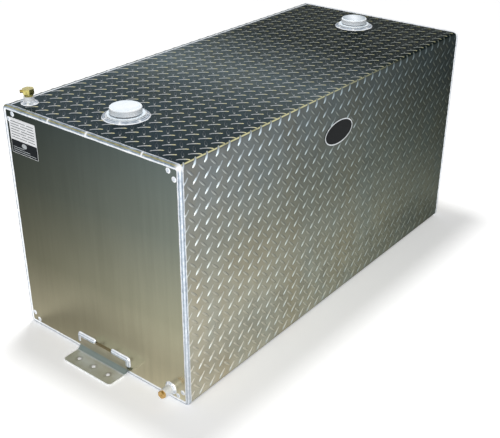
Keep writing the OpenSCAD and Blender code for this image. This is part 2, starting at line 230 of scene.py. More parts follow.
def wrap_field(s):
    """Chooses the front, top or back painted reflection tone from the way the sheet faces."""
    nx, ny, nz = s.normal()
    front = s.math("GREATER_THAN", s.math("MULTIPLY", ny, -1.0), 0.72)
    ny_f = s.span(ny, -0.60, -0.82)
    ny_b = s.span(ny, 0.60, 0.82)
    out = s.mix(ny_f, top_field(s), front_field(s))
    return s.mix(ny_b, out, back_field(s))


# ---------------------------------------------------------------- materials
def make_tread():
    s = Shader("tread_plate_sheet", 1.0, 0.34).dark_edge(0.50, 0.51, 0.51)
    mottle = s.noise(26.0, 4.0)
    fine = s.noise(420.0, 2.0)
    base = s.mix(s.span(mottle, 0.25, 0.75), wrap_field(s), (1.0, 1.0, 1.0, 1.0), "MULTIPLY")
    shade = s.ramp(mottle, [(0.3, (0.80, 0.80, 0.80, 1)), (0.7, (1.0, 1.0, 1.0, 1))])
    base = s.mix(1.0, base, shade, "MULTIPLY")
    patch = s.noise(11.0, 3.0, (1.0, 1.0, 0.45))
    base = s.mix(1.0, base, s.ramp(patch, [(0.35, (0.94, 0.98, 1.0, 1)), (0.65, (1.0, 0.95, 0.86, 1))]), "MULTIPLY")
    haze = s.noise(3.2, 2.0, (0.6, 1.6, 1.0))
    base = s.mix(1.0, base, s.ramp(haze, [(0.35, (0.84, 0.84, 0.84, 1)), (0.65, (1.0, 1.0, 1.0, 1))]), "MULTIPLY")
    _, (x, y, z) = s.coord()
    nx, ny, nz = s.normal()
    # painted highlight: a thin pale yellow line along the fold between front and top, fading out towards the right end
    fold_highlight = s.math("MULTIPLY", s.span(nz, 0.72, 0.80), s.span(nz, 0.92, 0.86))
    fold_highlight = s.math("MULTIPLY", fold_highlight, s.math("LESS_THAN", ny, 0.0))
    fold_highlight = s.math("MULTIPLY", fold_highlight, s.math("MULTIPLY", s.span(x, 0.30, -0.25), s.span(mottle, 0.2, 0.5)))
    base = s.mix(fold_highlight, base, srgb(214, 210, 164))
    s.colour(base).rough(0.26, 0.42, mottle)
    return s.shape(s.bump(fine, 0.0004, 0.25))


def make_lugs():
    """The lugs take the painted reflection tone of the sheet under them, with painted highlights and painted shade set
    by the glint and warm attributes of each lug.
    """
    s = Shader("tread_plate_lugs", 1.0, 0.34).dark_edge(0.5, 0.5, 0.5)
    where = s.attribute("lug_zone")
    glint = s.attribute("lug_glint")
    warm = s.attribute("lug_warm_highlight")
    under = s.mix(s.span(where, 0.0, 1.0), front_field(s), top_field(s))
    under = s.mix(s.span(where, 1.0, 2.0), under, back_field(s))
    _, (x, y, z) = s.coord()
    along, up = s.span(x, -L / 2, L / 2), s.span(z, 0, H)
    # painted highlights: on the front the lugs stand out less low down and to the right
    gain = s.math("MULTIPLY", s.math("ADD", 1.12, s.math("MULTIPLY", up, 3.5)),
                  s.math("SUBTRACT", 1.0, s.math("MULTIPLY", along, 0.45)))
    cooler = s.mix(up, (0.84, 0.96, 1.16, 1), (0.93, 1.0, 1.11, 1))
    lifted = s.scaled(s.mix(1.0, under, cooler, "MULTIPLY"), gain)
    # painted highlights: near white on the top and back lugs, greyer towards the right end, the sheet's tone lifted on
    # the front, pale yellow where the warm attribute says
    over = s.mix(s.span(along, 0.25, 1.0), srgb(250, 252, 254), srgb(176, 186, 180))
    bright = s.mix(s.math("LESS_THAN", where, 0.5), over, lifted)
    bright = s.mix(warm, bright, s.mix(along, srgb(252, 244, 190), srgb(190, 188, 146)))
    # painted shade: lugs are darker than the sheet where their glint is low
    dark = s.mix(1.0, under, (0.66, 0.69, 0.72, 1), "MULTIPLY")
    low = s.mix(s.span(glint, 0.0, 0.45), dark, under)
    s.colour(s.mix(s.span(glint, 0.45, 1.0), low, bright))
    return s.shape(s.bump(s.noise(500.0, 2.0), 0.0003, 0.2))


def make_weld():
    """Rippled bead with painted light: two bright toes and a bright crown line as painted highlights, and a darker band
    on each side of the crown as painted shade.
    """
    s = Shader("weld_bead", 1.0, 0.36).dark_edge(0.4, 0.41, 0.43)
    _, (x, y, z) = s.coord()
    v = s.math("ABSOLUTE", s.attribute("bead_v"))
    wander = s.math("MULTIPLY", s.math("SUBTRACT", s.noise(45.0, 3.0), 0.5), 0.22)
    v = s.math("ADD", v, wander)
    # painted glints at the spots each bead lists
    lift = s.attribute("bead_glint")
    cool = s.ramp(s.noise(110.0, 3.0), [(0.3, (186, 196, 208)), (0.7, (236, 242, 250))])
    straw = s.ramp(s.noise(80.0, 3.0), [(0.3, (122, 122, 92)), (0.7, (178, 172, 132))])
    crown = s.mix(s.math("MULTIPLY", s.attribute("bead_straw"), s.span(z, H - 0.012, H - 0.004)), cool, straw)
    band = s.ramp(s.noise(90.0, 3.0), [(0.3, (104, 118, 132)), (0.7, (172, 186, 200))])
    toe = s.ramp(s.noise(150.0, 2.0), [(0.3, (218, 226, 236)), (0.6, (250, 252, 254))])
    col = s.mix(s.span(v, 0.10, 0.26), crown, band)
    col = s.mix(s.span(v, 0.42, 0.60), col, toe)
    # painted light: the bead is whitened towards the bottom, up to 0.3 m
    low = s.math("MULTIPLY", s.span(z, 0.30, 0.0), 0.35)
    col = s.mix(s.math("MAXIMUM", lift, low), col, srgb(250, 252, 254))
    s.colour(col).rough(0.30, 0.46, s.noise(90.0))
    return s.shape(s.bump(s.noise(700.0, 3.0), 0.0003, 0.4))


def make_end_plate():
    s = Shader("end_plate_finish_and_painted_reflection", 1.0, 0.16).dark_edge(0.4, 0.4, 0.38)
    _, (x, y, z) = s.coord()
    u, v = s.span(y, W / 2, -W / 2), s.span(z, 0, H)
    # painted reflection: darker and greener towards the top, warmer and lighter towards the bottom, and lighter towards
    # the front edge
    tone = s.ramp(v, [(0.0, (184, 177, 152)), (0.35, (129, 128, 110)), (0.7, (93, 98, 90)), (1.0, (72, 80, 78))])
    side = s.curve(u, [(0.0, 0.68), (0.5, 1.0), (1.0, 1.42)])
    base = s.scaled(tone, s.math("POWER", side, s.math("ADD", v, 0.9)))
    streak = s.noise(9.0, 4.0, (1.0, 9.0, 0.5))
    cloud = s.noise(5.0, 3.0)
    base = s.mix(1.0, base, s.ramp(streak, [(0.3, (0.90, 0.90, 0.90, 1)), (0.7, (1.0, 1.0, 1.0, 1))]), "MULTIPLY")
    base = s.mix(1.0, base, s.ramp(cloud, [(0.3, (0.93, 0.93, 0.92, 1)), (0.7, (1.0, 1.0, 1.0, 1))]), "MULTIPLY")
    s.colour(base).rough(0.12, 0.24, streak)
    return s.shape(s.bump(s.noise(60.0, 3.0, (1.0, 22.0, 0.4)), 0.0002, 0.10))


def make_bracket():
    s = Shader("bracket_sheet", 1.0, 0.34).dark_edge(0.8, 0.8, 0.78)
    _, (x, y, z) = s.coord()
    nx, ny, nz = s.normal()
    far = s.math("ABSOLUTE", x)
    # painted light: the upward-facing foot is painted near white and the upright leg a darker tan grey
    leg = s.mix(s.span(z, BR_BEND, BR_H), srgb(158, 153, 136), srgb(172, 164, 144))
    foot = s.mix(s.span(y, -0.08, 0.08), srgb(242, 246, 242), srgb(234, 240, 236))
    # painted shade: the fold between foot and leg is painted dark
    fold = s.math("MULTIPLY", s.span(nz, 0.985, 0.90), s.span(s.math("ABSOLUTE", nx), 0.99, 0.93))
    up = s.mix(s.span(z, BR_T, BR_BEND), foot, leg)
    up = s.mix(fold, up, srgb(124, 135, 131))
    # painted highlight: the foot's side edges are painted near white
    edge = s.math("MULTIPLY", s.span(s.math("ABSOLUTE", nz), 0.6, 0.3), s.span(z, BR_T + 0.0006, BR_T))
    up = s.mix(edge, up, srgb(250, 252, 252))
    grime = s.noise(70.0, 4.0)
    # painted shade: a darker ring round each bolt hole, its edge broken up by the grime noise
    hole_shade = None
    for c in (-0.0508, 0.0, 0.0508):
        d = s.math("SQRT", s.math("ADD",
                                  s.math("POWER", s.math("SUBTRACT", far, L / 2 + 0.0381), 2.0),
                                  s.math("POWER", s.math("SUBTRACT", y, c), 2.0)))
        d = s.math("ADD", d, s.math("MULTIPLY", s.math("SUBTRACT", grime, 0.5), 0.012))
        ring = s.span(d, 0.013, 0.006)
        hole_shade = ring if hole_shade is None else s.math("MAXIMUM", hole_shade, ring)
    col = s.mix(1.0, up, s.ramp(grime, [(0.3, (0.92, 0.92, 0.91, 1)), (0.7, (1.0, 1.0, 1.0, 1))]), "MULTIPLY")
    col = s.mix(s.math("MULTIPLY", hole_shade, 0.35), col, srgb(124, 116, 106))
    s.colour(col).rough(0.30, 0.42, grime)
    return s.shape(s.bump(s.noise(120.0, 3.0, (1.0, 5.0, 1.0)), 0.0002, 0.15))


def make_baffle():
    s = Shader("baffle_sheet", 1.0, 0.36)
    cloud = s.noise(14.0, 4.0)
    s.colour(s.ramp(cloud, [(0.3, (128, 130, 126)), (0.7, (166, 168, 164))])).rough(0.3, 0.45, cloud)
    return s.shape(s.bump(s.noise(200.0, 2.0), 0.0003, 0.15))


def polar(s, cx, cy):
    """Radius and turn (0 to 1) about an upright axis."""
    _, (x, y, z) = s.coord()
    dx, dy = s.math("SUBTRACT", x, cx), s.math("SUBTRACT", y, cy)
    r = s.math("SQRT", s.math("ADD", s.math("MULTIPLY", dx, dx), s.math("MULTIPLY", dy, dy)))
    turn = s.math("DIVIDE", s.math("ARCTAN2", dy, dx), 2 * math.pi)
    return r, turn, z


def make_turned(name, cx, cy, tone, thread, bow=0.0):
    """Turned aluminium with tool rings on its flat, two soft fans of painted reflection there as much as bow says, and
    a fine thread where the radius says so; the flat, a ring near its rim and the thread are darkened as painted shade."""
    s = Shader(name, 0.0, 0.42)
    r, turn, z = polar(s, cx, cy)
    nx, ny, nz = s.normal()
    flat = s.span(nz, 0.90, 0.98)
    rings = s.math("MULTIPLY", s.math("SINE", s.math("MULTIPLY", r, 2 * math.pi / 0.0011)), flat)
    helix = s.math("SINE", s.math("MULTIPLY", s.math("ADD", s.math("DIVIDE", z, 0.005), turn), 2 * math.pi))
    on_thread = s.math("MULTIPLY", s.span(r, thread[0] - 0.0006, thread[0] - 0.0002),
                       s.span(r, thread[1] + 0.0006, thread[1] + 0.0002))
    on_thread = s.math("MULTIPLY", on_thread, s.span(z, thread[3], thread[2]))
    swirl = s.noise(40.0, 3.0)
    fan = s.math("ABSOLUTE", s.math("COSINE", s.math("MULTIPLY", s.math("ADD", turn, 0.14), 2 * math.pi)))
    fan = s.math("MULTIPLY", s.math("MULTIPLY", fan, flat), s.math("MULTIPLY", s.span(r, 0.004, 0.03), bow))
    # painted light: a darker thread, a darker flat, a bluish shade ring near the flat's rim and the fans of painted
    # reflection
    col = s.mix(s.math("MULTIPLY", on_thread, 0.55), s.ramp(swirl, tone), srgb(120, 124, 126))
    col = s.mix(s.math("MULTIPLY", flat, 0.55), col, srgb(208, 216, 225))
    col = s.mix(s.math("MULTIPLY", s.math("MULTIPLY", s.span(r, 0.026, 0.033), flat), 0.5), col, srgb(206, 220, 230))
    s.colour(s.mix(fan, col, srgb(132, 146, 156)))
    s.rough(0.26, 0.40, swirl)
    b = s.bump(rings, 0.00004, 0.25)
    b = s.bump(s.math("MULTIPLY", helix, on_thread), 0.0012, 0.8, b)
    return s.shape(b)


def make_brass(name, light, dark):
    s = Shader(name, 1.0, 0.24)
    cloud = s.noise(160.0, 3.0)
    s.colour(s.ramp(cloud, [(0.3, dark), (0.7, light)])).rough(0.18, 0.34, cloud)
    return s.shape(s.bump(s.noise(900.0, 2.0), 0.0002, 0.2))


def make_stub():
    """Brass outlet, with painted shade inside its bore."""
    s = Shader("brass_outlet", 1.0, 0.24)
    _, (x, y, z) = s.coord()
    dx, dy = s.math("SUBTRACT", x, VENT_X), s.math("SUBTRACT", y, VENT_Y)
    c, k = math.cos(STUB_TURN), math.sin(STUB_TURN)
    off = s.math("SUBTRACT", s.math("MULTIPLY", dy, c), s.math("MULTIPLY", dx, k))
    rise = s.math("SUBTRACT", z, STUB_Z)
    r = s.math("SQRT", s.math("ADD", s.math("MULTIPLY", off, off), s.math("MULTIPLY", rise, rise)))
    cloud = s.noise(160.0, 3.0)
    wall = s.ramp(cloud, [(0.3, (110, 92, 48)), (0.7, (190, 172, 96))])
    # painted shade: near black inside the bore
    s.colour(s.mix(s.span(r, 0.0031, 0.0025), wall, srgb(24, 20, 12))).rough(0.18, 0.34, cloud)
    return s.shape(s.bump(s.noise(900.0, 2.0), 0.0002, 0.2))


def make_plain(name, dark, light, roughness, metallic=0.0, scale=200.0):
    s = Shader(name, metallic, roughness)
    cloud = s.noise(scale, 3.0)
    s.colour(s.ramp(cloud, [(0.35, dark), (0.65, light)])).rough(roughness * 0.85, min(1.0, roughness * 1.15), cloud)
    return s.shape(s.bump(cloud, 0.0002, 0.15))


TREAD = make_tread()
LUGS = make_lugs()
WELD = make_weld()
END_PLATE = make_end_plate()
BRACKET = make_bracket()
BAFFLE = make_baffle()
RUBBER = make_plain("seal_rubber_black", (20, 20, 20), (34, 34, 33), 0.6)
BRASS = make_brass("brass_vent", (212, 202, 128), (140, 130, 70))
BRASS_STUB = make_stub()
BRASS_PLUG = make_brass("brass_plug", (232, 196, 128), (176, 136, 76))
BRIGHT = [(0.3, (226, 234, 240)), (0.7, (250, 252, 254))]
COLLAR = [(0.3, (196, 206, 212)), (0.7, (240, 245, 248))]
CAP_L = make_turned("left_cap_turned", LEFT_FILL, 0.0, BRIGHT, (SKIRT_R - 0.0004, SKIRT_R + 0.0004, 0.6190, 0.6196))
CAP_R_MAT = make_turned("right_cap_turned", RIGHT_FILL, 0.0, BRIGHT, (SKIRT_R - 0.0004, SKIRT_R + 0.0004, 0.6190, 0.6196), 0.9)
NECK_L = make_turned("left_neck_turned", LEFT_FILL, 0.0, COLLAR, (0.029, 0.0305, 0.6170, 0.6174))
NECK_R_MAT = make_turned("right_neck_turned", RIGHT_FILL, 0.0, COLLAR, (0.029, 0.0305, 0.6170, 0.6174))
COUPLING = make_plain("coupling_aluminium", (232, 237, 242), (250, 252, 254), 0.42, 0.15)
PLAQUE = make_plain("blank_plaque_face", (20, 22, 24), (32, 34, 36), 0.5)
PLAQUE.node_tree.nodes["Principled BSDF"].inputs["Specular IOR Level"].default_value = 0.05
PLAQUE_RIM = make_plain("blank_plaque_rim", (186, 192, 196), (222, 226, 228), 0.35, 1.0)
PAPER = make_plain("label_white", (240, 243, 247), (250, 251, 253), 0.5)
INK = make_plain("label_dark", (16, 20, 24), (26, 32, 36), 0.7)
INK.node_tree.nodes["Principled BSDF"].inputs["Specular IOR Level"].default_value = 0.1
RULE = make_plain("label_rule", (60, 66, 68), (86, 92, 94), 0.5)
PALE_RULE = make_plain("label_pale_rule", (170, 176, 180), (200, 206, 210), 0.5)


def dress(node, mat):
    for place in NODES[node].material_slots:
        place.material = mat


for n in NODES:
    if n == "tread_plate_wrap":
        dress(n, TREAD)
    elif "end_plate" in n:
        dress(n, END_PLATE)
    elif "baffle" in n:
        dress(n, BAFFLE)
    elif "gasket" in n:
        dress(n, RUBBER)
    elif "coupling" in n and "weld" not in n:
        dress(n, COUPLING)
    elif n.endswith("bracket"):
        dress(n, BRACKET)
    elif "weld" in n:
        dress(n, WELD)
dress("left_filler_cap", CAP_L)
dress("right_filler_cap", CAP_R_MAT)
dress("left_filler_neck", NECK_L)
dress("right_filler_neck", NECK_R_MAT)
dress("vent_body", BRASS)
dress("vent_outlet_stub", BRASS_STUB)
dress("drain_plug", BRASS_PLUG)


# ---------------------------------------------------------------- mesh helpers
def add_mesh(name, verts, faces, mat, body, attributes=None, smooth=True):
    me = bpy.data.meshes.new(name)
    me.from_pydata([tuple(map(float, v)) for v in verts], [], faces)
    me.materials.append(mat)
    me.polygons.foreach_set("use_smooth", [smooth] * len(me.polygons))
    for key, values in (attributes or {}).items():
        a = me.attributes.new(key, "FLOAT", "POINT")
        a.data.foreach_set("value", np.asarray(values, np.float32))
    me.update()
    o = bpy.data.objects.new(name, me)
    bpy.context.scene.collection.objects.link(o)
    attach(o, body)
    return o


def strip(rows, cols, closed):
    """Quads of a grid of rows by cols points, joined back to the first row when closed."""
    faces = []
    for i in range(rows if closed else rows - 1):
        a, b = i * cols, ((i + 1) % rows) * cols
        for j in range(cols - 1):
            faces.append((a + j, b + j, b + j + 1, a + j + 1))
    return faces


def bead(name, points, across, out, section, centre, closed, node, ripple=0.00035, pitch=0.0034,
         cap=0.0, clip_low=False, glint_spots=(), straw=0.0, wobble=0.0, body="tank"):
    """A rippled weld bead swept along points.

    across and out are unit vectors at each point; section holds (across, out) pairs from toe to toe,
    and the ripples press in towards centre. cap rounds off the two ends over that length."""
    points, across, out = (np.asarray(a, float) for a in (points, across, out))
    section, centre = np.asarray(section, float), np.asarray(centre, float)
    n, m = len(points), len(section)
    step = np.linalg.norm(np.roll(points, -1, 0) - points, axis=1)
    along = np.concatenate([[0.0], np.cumsum(step)[:-1]])
    total = along[-1] + (step[-1] if closed else 0.0)
    if closed:
        pitch = total / max(1, round(total / pitch))
    v = np.linspace(-1, 1, m)
    inward = centre - section
    inward /= np.linalg.norm(inward, axis=1)[:, None]
    phase = along[:, None] / pitch + 0.55 * (1 - v[None, :] ** 2) + 0.06 * np.sin(along[:, None] * 311.0)
    saw = phase - np.floor(phase)
    depth = ripple * (0.15 + 0.85 * saw ** 1.5) * (1 - 0.75 * v[None, :] ** 2)
    depth = depth + 0.00012 * (1 + np.sin(along[:, None] * 97.0 + 2 * v[None, :]))
    flat = section[:, 0].mean()
    grow = np.ones(n)
    if cap > 0:
        for d in (along, total - along):
            t = np.clip(d / cap, 0, 1)
            grow = np.minimum(grow, np.sqrt(np.clip(1 - (1 - t) ** 2, 0.0, 1)))
    sec = section[None] + depth[..., None] * inward[None]
    a = flat + (sec[..., 0] - flat) * grow[:, None]
    b = sec[..., 1] * grow[:, None] if cap > 0 else sec[..., 1]
    if wobble:
        # the toes wander a little along the bead
        k = along[:, None]
        wave = np.sin(k * 190.0) + 0.7 * np.sin(k * 431.0 + 1.3) + 0.5 * np.sin(k * 977.0 + v[None] * 3)
        a = a + wobble * wave * v[None] ** 2 * np.sign(a - flat)
    p = points[:, None] + a[..., None] * across[:, None] + b[..., None] * out[:, None]
    if clip_low:
        p[..., 2] = np.maximum(p[..., 2], 0.0)
    # painted glints: bright spots at the given distances along the bead
    lift = np.zeros((n, m))
    for at, size in glint_spots:
        bow = along[:, None] - at - 0.0015 * v[None] ** 2
        lift = np.maximum(lift, np.exp(-((bow / size) ** 2)))
    o = add_mesh(name, p.reshape(-1, 3), strip(n, m, closed), WELD, body,
                 {"bead_v": np.tile(v, n), "bead_glint": lift.reshape(-1), "bead_straw": np.full(n * m, straw)})
    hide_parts(*([node] if isinstance(node, str) else node))
    return o


def arc(centre, radius, a0, a1, count):
    a = np.radians(np.linspace(a0, a1, count))
    return np.stack([centre[0] + radius * np.cos(a), centre[1] + radius * np.sin(a)], 1)


GIRTH_Q, GIRTH_TOP, GIRTH_SIDE = math.pi * BEND_R / 2, W - 2 * BEND_R, H - 2 * BEND_R


def girth(s):
    """Point and outward normal on the sheet at girth s: 0 at the top of the front's flat, positive down the front
    and round the lower fold, negative over the top and down the back. Returns arrays y, z, ny, nz."""
    s = np.asarray(s, float)
    half = GIRTH_TOP / 2
    d = np.abs(s + GIRTH_Q + half)          # distance from the middle of the top
    side = np.where(s + GIRTH_Q + half > 0, -1.0, 1.0)
    y, z = d.copy(), np.full_like(s, H)
    ny, nz = np.zeros_like(s), np.ones_like(s)
    a = (d - half) / BEND_R
    m = d > half
    y, z = np.where(m, half + BEND_R * np.sin(a), y), np.where(m, H - BEND_R + BEND_R * np.cos(a), z)
    ny, nz = np.where(m, np.sin(a), ny), np.where(m, np.cos(a), nz)
    e = d - half - GIRTH_Q
    m = e > 0
    y, z = np.where(m, W / 2, y), np.where(m, H - BEND_R - e, z)
    ny, nz = np.where(m, 1.0, ny), np.where(m, 0.0, nz)
    a = (e - GIRTH_SIDE) / BEND_R
    m = e > GIRTH_SIDE
    y, z = np.where(m, half + BEND_R * np.cos(a), y), np.where(m, BEND_R - BEND_R * np.sin(a), z)
    ny, nz = np.where(m, np.cos(a), ny), np.where(m, -np.sin(a), nz)
    return y * side, z, ny * side, nz


def smooth_step(t):
    t = np.clip(t, 0, 1)
    return t * t * (3 - 2 * t)


# ---------------------------------------------------------------- tread lugs
OVAL = {"x": -0.028, "z": 0.498, "a": 0.062, "b": 0.032}


def lug_shape():
    """Points of one lug as (along, across, height) shares, its faces, and its shares t and v."""
    ts = np.array([-1.0, -0.86, -0.58, -0.2, 0.2, 0.58, 0.86, 1.0])
    vs = np.array([-1.0, -0.62, 0.0, 0.62, 1.0])
    pts, idx = [], []
    for t in ts:
        if abs(t) == 1.0:
            idx.append([len(pts)] * len(vs))
            pts.append((t, 0.0, -0.15, t, 0.0))
            continue
        width = (1 - abs(t) ** 3.0) ** 0.65
        top = (1 - abs(t) ** 3.0) ** 0.7
        row = []
        for v in vs:
            row.append(len(pts))
            h = top * (1 - abs(v) ** 2.4) ** 0.8 if abs(v) < 1 else -0.15
            pts.append((t, v * width, h, t, v))
        idx.append(row)
    faces = []
    for i in range(len(ts) - 1):
        for j in range(len(vs) - 1):
            f = [idx[i][j], idx[i + 1][j], idx[i + 1][j + 1], idx[i][j + 1]]
            f = [k for n, k in enumerate(f) if k not in f[:n]]
            faces.append(tuple(f))
    return np.array(pts), faces


def lug_sites():
    """Centres (x, s) of both families of lugs over the front, top and back."""
    s_high = GIRTH_SIDE + 0.45 * BEND_R
    s_low = -(2 * GIRTH_Q + GIRTH_TOP) - s_high
    sites = []
    for kind in (0, 1):
        x0, s0 = LUG_X0 + kind * LUG_PITCH / 2, LUG_S0 + kind * LUG_PITCH / 2
        i0, i1 = math.floor((-L / 2 - x0) / LUG_PITCH), math.ceil((L / 2 - x0) / LUG_PITCH)
        j0, j1 = math.floor((s_low - s0) / LUG_PITCH), math.ceil((s_high - s0) / LUG_PITCH)
        for i in range(i0, i1 + 1):
            for j in range(j0, j1 + 1):
                x, s = x0 + i * LUG_PITCH, s0 + j * LUG_PITCH
                if abs(x) < L / 2 - 0.004 and s_low <= s <= s_high:
                    sites.append((x, s, kind))
    return sites


def keep_site(x, s):
    y, z, ny, nz = girth(s)
    if nz > 0.5:
        for cx in (LEFT_FILL, RIGHT_FILL):
            if math.hypot(x - cx, y) < NECK_R + NECK_WELD_W + 0.003:
                return False
        if math.hypot(x - VENT_X, y - VENT_Y) < VENT_CR + VENT_WELD_W + 0.003:
            return False
        if abs(y - SEAM_Y) < 0.009:
            return False
    if ny < -0.5:
        if ((x - OVAL["x"]) / (OVAL["a"] + 0.004)) ** 2 + ((z - OVAL["z"]) / (OVAL["b"] + 0.004)) ** 2 < 1:
            return False
    return True


def make_lug_pieces():
    shape, faces = lug_shape()
    zones = {"front": [], "top": [], "back": []}
    for x, s, kind in lug_sites():
        if not keep_site(x, np.array(s)):
            continue
        y, z, ny, nz = girth(np.array(s))
        zones["top" if nz > 0.71 else ("front" if ny < 0 else "back")].append((x, s, kind))
    for zone, sites in zones.items():
        arr = np.array(sites)
        n, m = len(arr), len(shape)
        kind = arr[:, 2][:, None]
        t, v = shape[None, :, 0], shape[None, :, 1]
        along, side, up = t * LUG_L / 2, v * LUG_W / 2, shape[None, :, 2]
        c = math.sqrt(0.5)
        # "/" runs to +x and -s, "\" runs to +x and +s
        ds = np.where(kind == 0, -1.0, 1.0)
        x = arr[:, 0][:, None] + c * along - c * side * ds
        s = arr[:, 1][:, None] + c * along * ds + c * side
        y, z, ny, nz = girth(s)
        h = np.broadcast_to(up, x.shape).copy()
        inside = L / 2 - BEAD_TOE + 0.001 - np.abs(x)
        fade = smooth_step(inside / 0.003)
        flat = nz > 0.99
        for cx, r in ((LEFT_FILL, NECK_R + NECK_WELD_W - 0.001), (RIGHT_FILL, NECK_R + NECK_WELD_W - 0.001)):
            fade = np.where(flat, fade * smooth_step((np.hypot(x - cx, y) - r) / 0.004), fade)
        fade = np.where(flat, fade * smooth_step((np.hypot(x - VENT_X, y - VENT_Y) - 0.0205) / 0.004), fade)
        fade = np.where(flat, fade * smooth_step((np.abs(y - SEAM_Y) - 0.0045) / 0.003), fade)
        fade = np.where(nz < -0.2, fade * smooth_step((z - 0.002) / 0.004), fade)
        h = np.where(h > 0, h * fade, h) * LUG_H
        x = np.clip(x, -L / 2 + 0.0075, L / 2 - 0.0075)
        p = np.stack([x, y + h * ny, z + h * nz], -1)
        # painted highlights and shade on each lug: the comet end of "/", the upper flank of "\", streaks along the top,
        # dark-centred rings, warm tips and ends
        tt = np.broadcast_to(shape[None, :, 3], x.shape)
        vv = np.broadcast_to(shape[None, :, 4], x.shape)
        off = np.abs(vv) * (1 - np.abs(tt) ** 3.0).clip(0, 1) ** 0.65
        if zone == "top":
            streak = 0.42 + 0.58 * np.clip(1.4 - off / 0.55, 0, 1)
            streak = streak * (0.82 + 0.20 * smooth_step((tt + 0.8) / 1.3))
            ring = 0.12 + 0.60 * smooth_step((np.maximum(np.abs(vv), np.abs(tt)) - 0.45) / 0.4)
            glint = np.where(kind == 0, ring, streak)
            warm = np.where(kind == 0, 0.1, smooth_step((tt + 0.1) / 0.8) * 0.95)
        elif zone == "front":
            head = smooth_step((0.12 - tt) / 0.55) * np.clip(1.5 - 0.8 * np.abs(vv), 0, 1)
            tail = 0.45 * np.clip(1.3 - off / 0.5, 0, 1)
            comet = 0.42 + 0.58 * np.maximum(head, tail)
            lit = smooth_step((vv - 0.05) / 0.5) * np.clip(1.25 - np.abs(tt), 0, 1)
            shade = smooth_step((-vv + 0.1) / 0.5) * np.clip(1.15 - 1.3 * np.abs(tt - 0.1), 0, 1)
            pair = 0.36 + 0.24 * lit - 0.34 * shade
            glint = np.where(kind == 0, comet, pair)
            warm = np.where(kind == 0, 0.05, 0.35)
            edge = 0.6 * smooth_step((0.004 - s) / 0.008)
            warm = np.where(kind == 0, np.maximum(warm, edge * smooth_step((tt - 0.1) / 0.6)), warm)
            glint = np.where(kind == 0, np.maximum(glint, edge * smooth_step((tt - 0.1) / 0.6)), glint)
        else:
            glint = 0.45 + 0.3 * np.clip(1 - np.abs(vv), 0, 1) + 0.2 * (tt < 0)
            warm = np.full(x.shape, 0.15)
        glint = np.clip(glint, 0, 1) * np.ones_like(x)
        warm = np.clip(warm, 0, 1) * np.ones_like(x)
        all_faces = [tuple(k + i * m for k in f) for i in range(n) for f in faces]
        code = {"front": 0.0, "top": 1.0, "back": 2.0}[zone]
        add_mesh(zone + "_tread_lugs", p.reshape(-1, 3), all_faces, LUGS, "tank",
                 {"lug_glint": glint.reshape(-1), "lug_warm_highlight": warm.reshape(-1), "lug_zone": np.full(n * m, code)})
        print("lugs", zone, n, "triangles", sum(len(f) - 2 for f in faces) * n)


make_lug_pieces()


# ---------------------------------------------------------------- weld beads
def outline_path(step):
    """Points all round the tank's outline, with outward normals, from the middle of the underside."""
    run_y, run_z = W - 2 * BEND_R, H - 2 * BEND_R
    out = []
    legs = [((-W / 2, H / 2), (0, 1), run_z), ((0, H), (1, 0), run_y),
            ((W / 2, H / 2), (0, -1), run_z), ((0, 0), (-1, 0), run_y)]
    for (cy, cz), (dy, dz), length in legs:
        n = max(2, round(length / step))
        for i in range(n):
            d = -length / 2 + length * i / n
            out.append((cy + dy * d, cz + dz * d, -dz, dy))
        m = max(4, round(math.pi / 2 * BEND_R / step))
        ey, ez = cy + dy * length / 2, cz + dz * length / 2
        oy, oz = ey + dz * BEND_R, ez - dy * BEND_R
        for i in range(m):
            a = math.pi / 2 * i / m
            ny = -dz * math.cos(a) + dy * math.sin(a)
            nz = dy * math.cos(a) + dz * math.sin(a)
            out.append((oy + ny * BEND_R, oz + nz * BEND_R, ny, nz))
    return np.array(out)


def end_beads():
    total = BEAD_TOE + BEAD_RISE
    inset = total - math.sqrt(2 * BEAD_RISE * total)
    radius = inset + BEAD_RISE
    a0 = math.degrees(math.acos(inset / radius))
    section = arc((-inset, -inset), radius, 90 + a0, -a0, 9)
    path = outline_path(0.0009)
    for side, sign in (("left", -1), ("right", 1)):
        pts = np.stack([np.full(len(path), sign * L / 2), path[:, 0], path[:, 1]], 1)
        across = np.stack([np.zeros(len(path)), path[:, 2], path[:, 3]], 1)
        out = np.tile([sign, 0.0, 0.0], (len(path), 1))
        sec = section[:, ::-1]
        # painted glints at the listed spots along each end bead
        bead(side + "_end_bead", pts, across, out, sec, (-inset, -inset), True, side + "_end_weld",
             clip_low=True, straw=1.0, ripple=0.00022,
             glint_spots=((0.593, 0.008), (0.696, 0.0024), (0.864, 0.003), (0.989, 0.0026), (1.42, 0.003),
                    (2.02, 0.003)))


def line(a, b, step):
    n = max(2, round((Vector(b) - Vector(a)).length / step))
    t = np.linspace(0, 1, n)[:, None]
    return np.array(a)[None] * (1 - t) + np.array(b)[None] * t


def seam_bead():
    radius = (SEAM_W ** 2 / 4 + BEAD_RISE ** 2) / (2 * BEAD_RISE)
    half = math.degrees(math.asin(SEAM_W / 2 / radius))
    section = arc((0.0, BEAD_RISE - radius), radius, 90 + half, 90 - half, 7)
    pts = line((-L / 2 + BEAD_TOE, SEAM_Y, H), (L / 2 - BEAD_TOE, SEAM_Y, H), 0.0009)
    n = len(pts)
    # painted glints at two spots along the seam
    bead("closing_seam_bead", pts, np.tile([0.0, 1.0, 0.0], (n, 1)), np.tile([0.0, 0.0, 1.0], (n, 1)),
         section, (0.0, BEAD_RISE - radius), False, "closing_seam_weld", ripple=0.0003,
         straw=1.0, glint_spots=((0.31, 0.003), (0.74, 0.003)))


